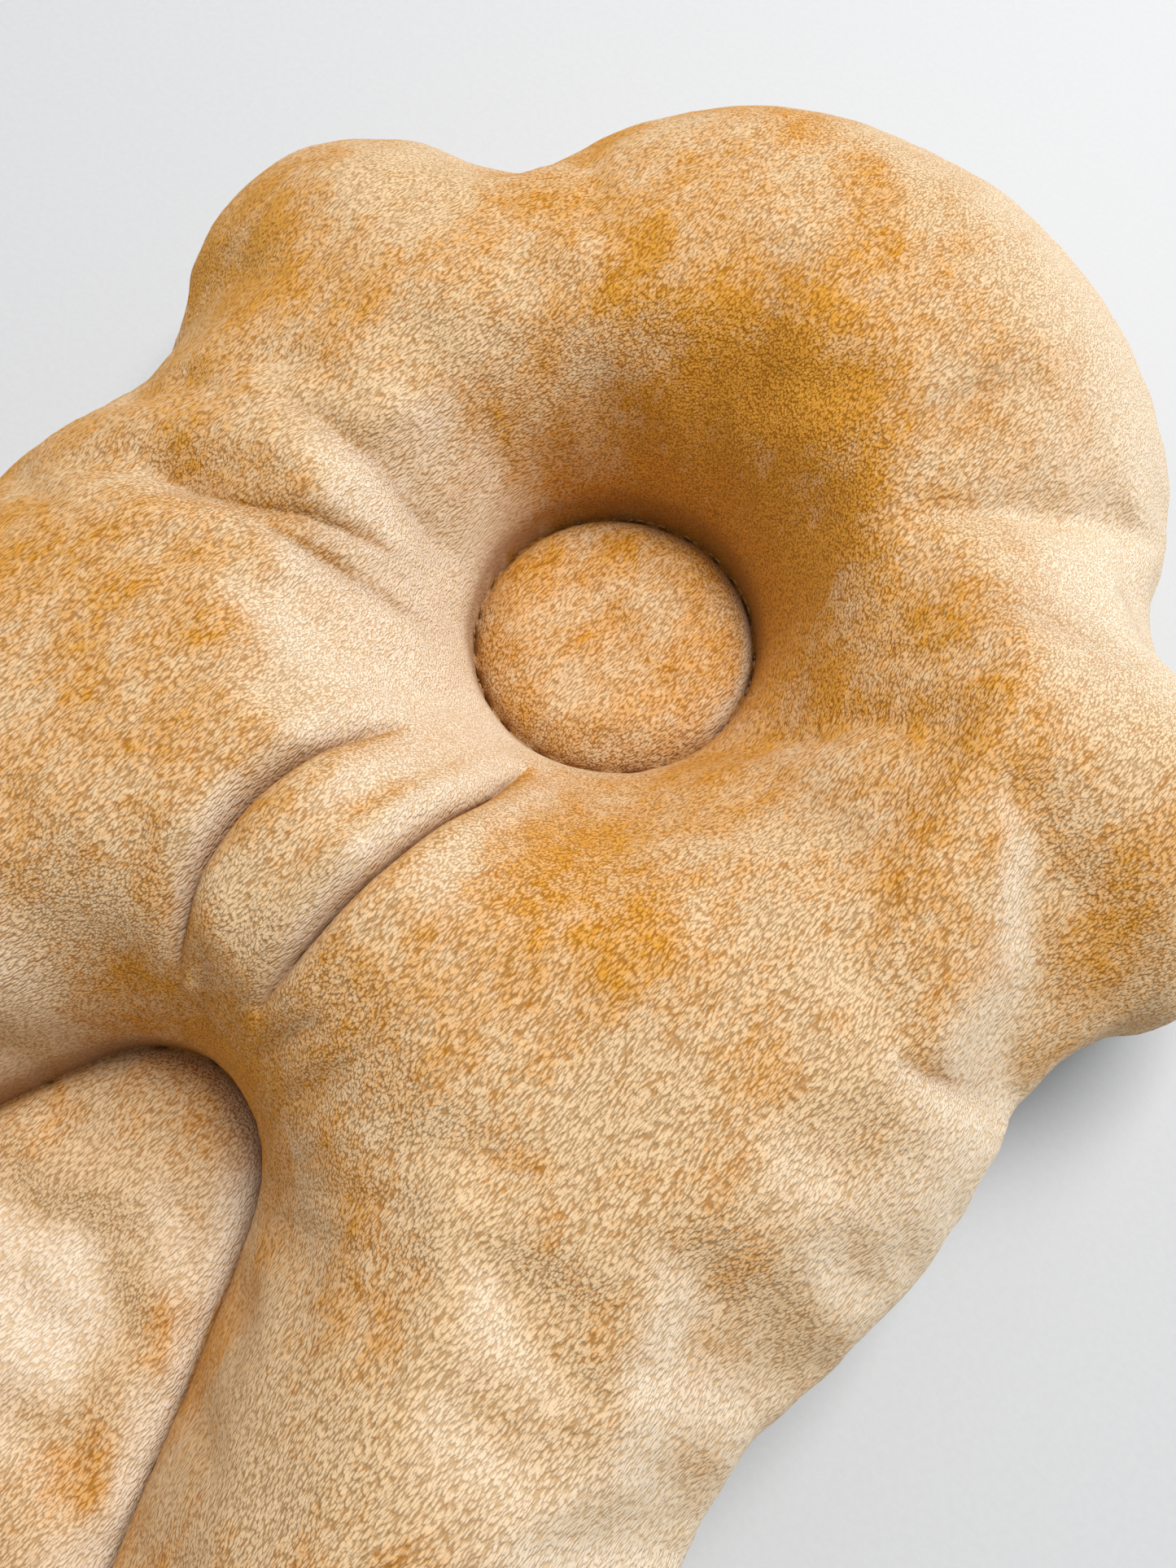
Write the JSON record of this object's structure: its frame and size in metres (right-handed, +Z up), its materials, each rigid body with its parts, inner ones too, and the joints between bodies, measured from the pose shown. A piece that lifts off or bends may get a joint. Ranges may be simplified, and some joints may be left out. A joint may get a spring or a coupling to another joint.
{
  "type": "newborn support pillow",
  "caption": "Flat-lying bear-shaped plush support pillow for a newborn, with a round recess for the head, a tapered recess for the body and a woven back.",
  "frame": {"origin": "on the supporting surface, under the middle of the pillow's bounding box", "axes": "+Y to the head end, +X across the pillow, +Z up out of the plush face"},
  "size_m": [0.366, 0.6558, 0.088],
  "materials": {
    "plush": "short-pile camel plush with a blotchy nap",
    "backing": "plain-weave ivory cotton",
    "fibrefill": "loose white polyester fibre",
    "seam_thread": "spun polyester thread",
    "quilting_thread": "spun polyester thread",
    "label_tape": "satin woven tape, blank"
  },
  "bodies": {
    "root": {"top_cover": "plush", "back_cover": "backing", "main_fill": "fibrefill", "head_floor_wadding": "fibrefill", "body_floor_wadding": "fibrefill", "perimeter_stitching": "seam_thread", "head_ring_stitching": "quilting_thread", "body_recess_stitching": "quilting_thread", "closing_stitches": "seam_thread", "care_label": "label_tape"}
  },
  "joints": []
}
